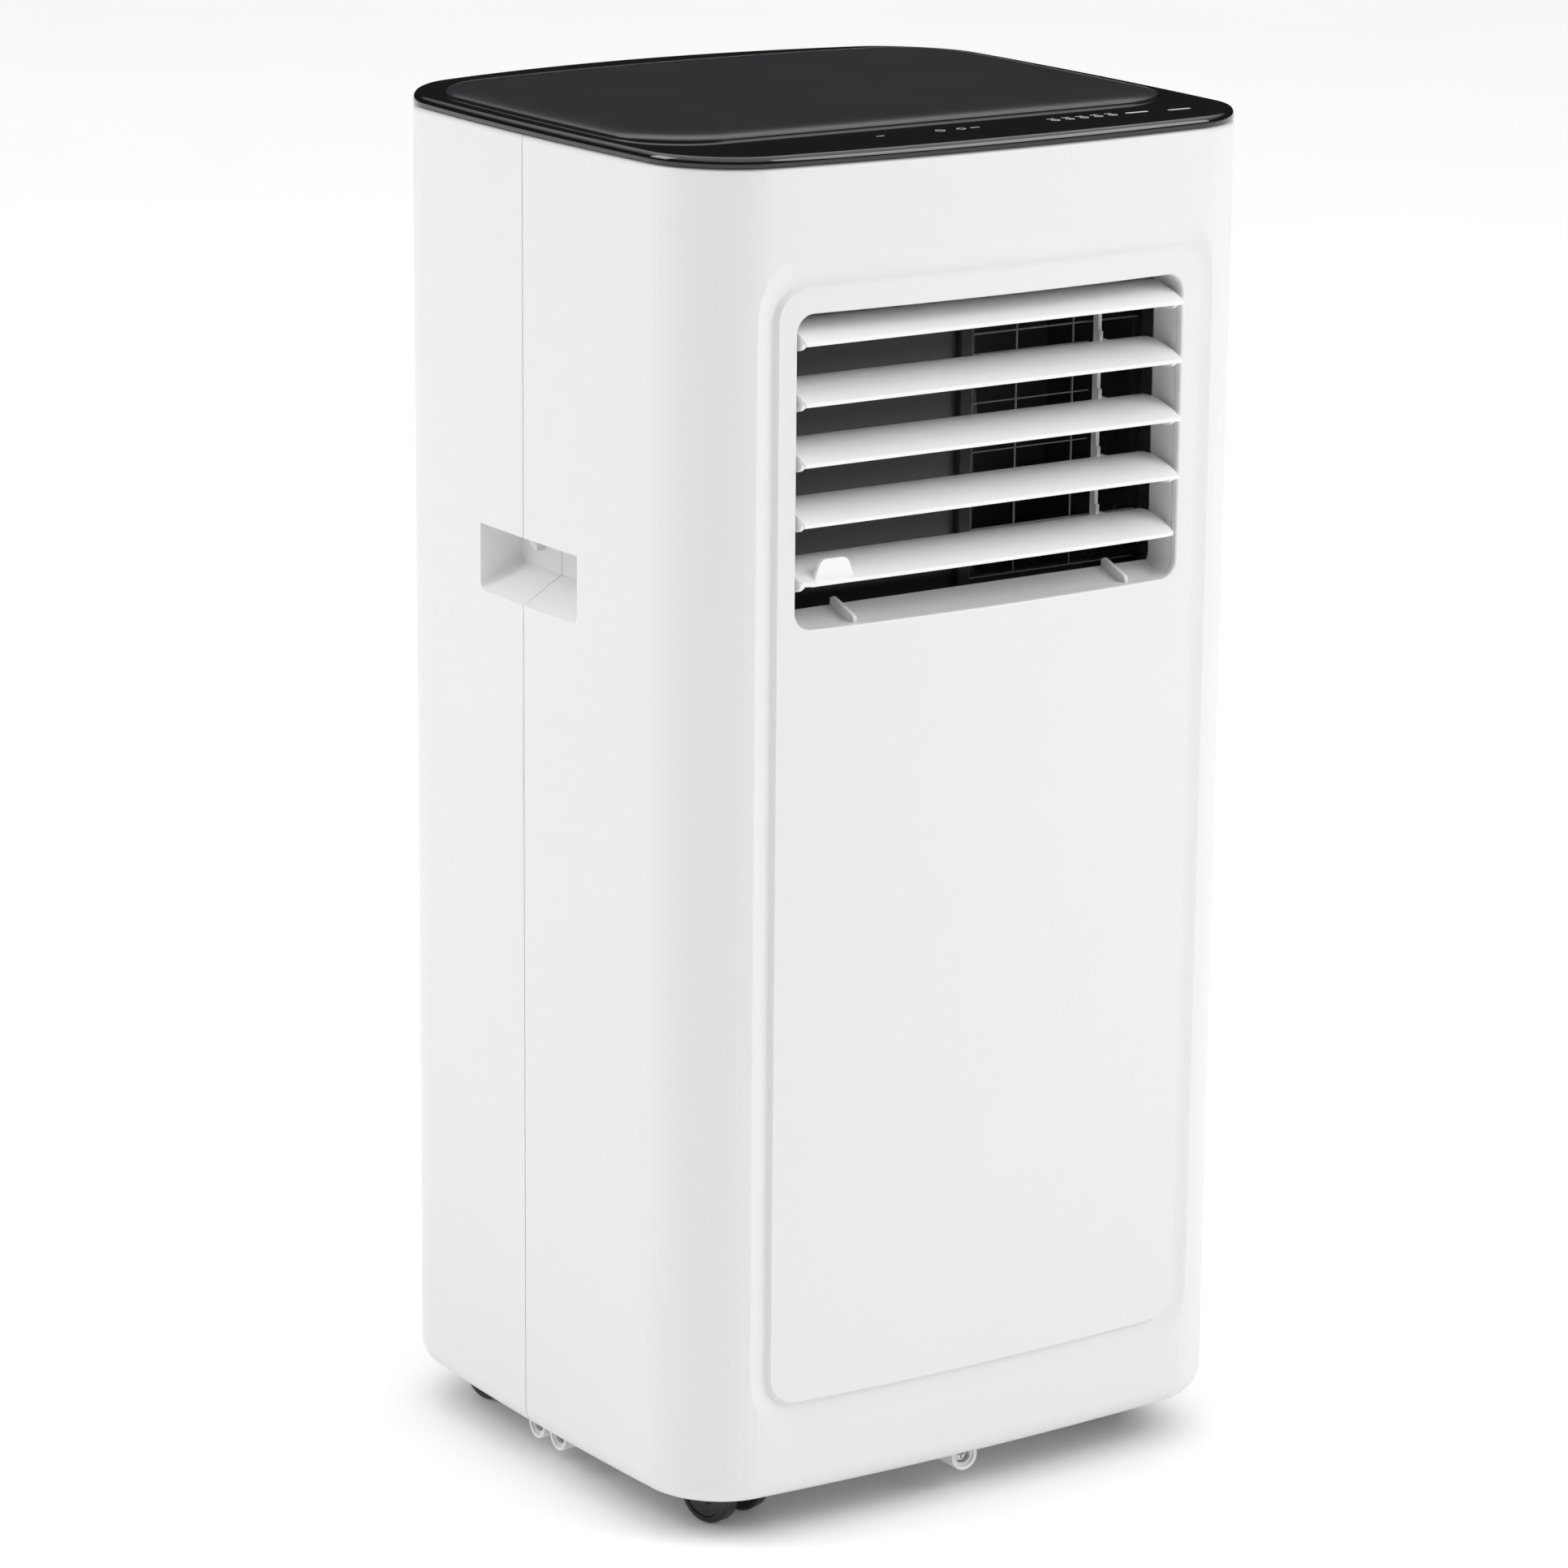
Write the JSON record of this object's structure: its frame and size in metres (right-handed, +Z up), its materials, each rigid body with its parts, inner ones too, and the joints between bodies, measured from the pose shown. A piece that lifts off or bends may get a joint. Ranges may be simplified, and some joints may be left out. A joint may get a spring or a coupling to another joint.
{
  "type": "portable air conditioner",
  "caption": "Upright white portable air conditioner with a louvered front outlet, gloss dark top panel, side grip recesses and twin-wheel casters.",
  "frame": {"origin": "on the floor under the middle of the object's bounding box", "axes": "+Z up, -Y out of the louvered front, +X to the right seen from the front"},
  "size_m": [0.336, 0.32, 0.679],
  "materials": {
    "white_abs": "fine satin",
    "smoked_gloss": "mirror gloss",
    "charcoal_plate": "soft gloss",
    "dark_grey_plastic": "matt",
    "light_grey_plastic": "satin",
    "black_nylon": "satin",
    "black_rubber": "matt",
    "filter_mesh": "fine mesh",
    "galvanised_steel": "zinc coated",
    "black_enamel": "semi-gloss",
    "aluminium_fin": "bare",
    "copper_tube": "drawn copper",
    "circuit_board": "matt",
    "screw_steel": "bright"
  },
  "bodies": {
    "cabinet": {"front_shell": "white_abs", "rear_shell": "white_abs", "top_bezel": "smoked_gloss", "top_plate": "charcoal_plate", "control_board": "circuit_board", "outlet_frame": "white_abs", "outlet_guard": "light_grey_plastic", "blower_scroll": "dark_grey_plastic", "blower_motor": "galvanised_steel", "exhaust_housing": "dark_grey_plastic", "exhaust_motor": "galvanised_steel", "exhaust_collar": "light_grey_plastic", "lower_grille": "white_abs", "evaporator_coil": "aluminium_fin", "condenser_coil": "aluminium_fin", "compressor": "black_enamel", "compressor_foot_1": "black_rubber", "compressor_foot_2": "black_rubber", "compressor_foot_3": "black_rubber", "accumulator": "black_enamel", "suction_pipe": "copper_tube", "discharge_pipe": "copper_tube", "liquid_pipe": "copper_tube", "base_pan": "galvanised_steel", "drip_tray": "light_grey_plastic", "control_box": "galvanised_steel", "run_capacitor": "aluminium_fin", "cord_gland": "black_nylon", "screw_front": "screw_steel", "screw_left_front": "screw_steel", "screw_left_rear": "screw_steel", "screw_right_front": "screw_steel", "screw_right_rear": "screw_steel"},
    "louver_1": {"louver_1": "white_abs"},
    "louver_2": {"louver_2": "white_abs"},
    "louver_3": {"louver_3": "white_abs"},
    "louver_4": {"louver_4": "white_abs"},
    "louver_5": {"louver_5": "white_abs"},
    "louver_link": {"louver_link": "white_abs"},
    "blower_wheel": {"blower_wheel": "dark_grey_plastic"},
    "exhaust_wheel": {"exhaust_wheel": "dark_grey_plastic"},
    "filter_cover": {"filter_cover": "white_abs", "air_filter": "filter_mesh"},
    "upper_drain_plug": {"upper_drain_plug": "black_rubber"},
    "lower_drain_plug": {"lower_drain_plug": "black_rubber"},
    "caster_1": {"caster_1": "black_nylon"},
    "caster_wheel_1": {"caster_wheel_1": "black_nylon"},
    "caster_2": {"caster_2": "black_nylon"},
    "caster_wheel_2": {"caster_wheel_2": "black_nylon"},
    "caster_3": {"caster_3": "black_nylon"},
    "caster_wheel_3": {"caster_wheel_3": "black_nylon"},
    "caster_4": {"caster_4": "black_nylon"},
    "caster_wheel_4": {"caster_wheel_4": "black_nylon"}
  },
  "joints": [
    {"name": "louver_5_tilt", "type": "hinge", "parent": "cabinet", "child": "louver_5", "pos_m": [0, -0.1473, 0.4749], "axis": [1, 0, 0], "range_deg": [-35, 6]},
    {"name": "louver_1_tilt", "type": "hinge", "parent": "cabinet", "child": "louver_1", "pos_m": [0, -0.1473, 0.5885], "axis": [1, 0, 0], "range_deg": [-35, 6]},
    {"name": "louver_2_tilt", "type": "hinge", "parent": "cabinet", "child": "louver_2", "pos_m": [0, -0.1473, 0.5601], "axis": [1, 0, 0], "range_deg": [-35, 6]},
    {"name": "louver_3_tilt", "type": "hinge", "parent": "cabinet", "child": "louver_3", "pos_m": [0, -0.1473, 0.5317], "axis": [1, 0, 0], "range_deg": [-35, 6]},
    {"name": "louver_4_tilt", "type": "hinge", "parent": "cabinet", "child": "louver_4", "pos_m": [0, -0.1473, 0.5033], "axis": [1, 0, 0], "range_deg": [-35, 6]},
    {"name": "louver_link_pivot", "type": "hinge", "parent": "louver_5", "child": "louver_link", "pos_m": [0.086, -0.1224, 0.4779], "axis": [1, 0, 0], "range_deg": [-6, 35]},
    {"name": "blower_spin", "type": "hinge", "parent": "cabinet", "child": "blower_wheel", "pos_m": [-0.034, -0.073, 0.529], "axis": [0, 1, 0], "continuous": true},
    {"name": "exhaust_spin", "type": "hinge", "parent": "cabinet", "child": "exhaust_wheel", "pos_m": [0.046, 0.031, 0.156], "axis": [0, 1, 0], "continuous": true},
    {"name": "filter_cover_pull", "type": "slide", "parent": "cabinet", "child": "filter_cover", "axis": [0, 1, 0], "range_m": [0, 0.04]},
    {"name": "upper_drain_pull", "type": "slide", "parent": "cabinet", "child": "upper_drain_plug", "axis": [0, 1, 0], "range_m": [0, 0.02]},
    {"name": "lower_drain_pull", "type": "slide", "parent": "cabinet", "child": "lower_drain_plug", "axis": [0, 1, 0], "range_m": [0, 0.02]},
    {"name": "caster_1_swivel", "type": "hinge", "parent": "cabinet", "child": "caster_1", "pos_m": [-0.1185, -0.1, 0.044], "axis": [0, 0, 1], "continuous": true},
    {"name": "caster_wheel_1_roll", "type": "hinge", "parent": "caster_1", "child": "caster_wheel_1", "pos_m": [-0.11632, -0.10873, 0.016], "axis": [0.9703, 0.2419, 0], "continuous": true},
    {"name": "caster_2_swivel", "type": "hinge", "parent": "cabinet", "child": "caster_2", "pos_m": [0.1185, -0.1, 0.044], "axis": [0, 0, 1], "continuous": true},
    {"name": "caster_wheel_2_roll", "type": "hinge", "parent": "caster_2", "child": "caster_wheel_2", "pos_m": [0.11975, -0.09109, 0.016], "axis": [-0.9903, 0.1392, 0], "continuous": true},
    {"name": "caster_3_swivel", "type": "hinge", "parent": "cabinet", "child": "caster_3", "pos_m": [-0.1185, 0.0837, 0.044], "axis": [0, 0, 1], "continuous": true},
    {"name": "caster_wheel_3_roll", "type": "hinge", "parent": "caster_3", "child": "caster_wheel_3", "pos_m": [-0.1196, 0.09263, 0.016], "axis": [-0.9925, -0.1219, 0], "continuous": true},
    {"name": "caster_4_swivel", "type": "hinge", "parent": "cabinet", "child": "caster_4", "pos_m": [0.1185, 0.0837, 0.044], "axis": [0, 0, 1], "continuous": true},
    {"name": "caster_wheel_4_roll", "type": "hinge", "parent": "caster_4", "child": "caster_wheel_4", "pos_m": [0.12083, 0.09239, 0.016], "axis": [-0.9659, 0.2588, 0], "continuous": true}
  ],
  "couplings": [
    {"joint": "louver_1_tilt", "follows": "louver_5_tilt", "ratio": 1},
    {"joint": "louver_2_tilt", "follows": "louver_5_tilt", "ratio": 1},
    {"joint": "louver_3_tilt", "follows": "louver_5_tilt", "ratio": 1},
    {"joint": "louver_4_tilt", "follows": "louver_5_tilt", "ratio": 1},
    {"joint": "louver_link_pivot", "follows": "louver_5_tilt", "ratio": -1}
  ]
}
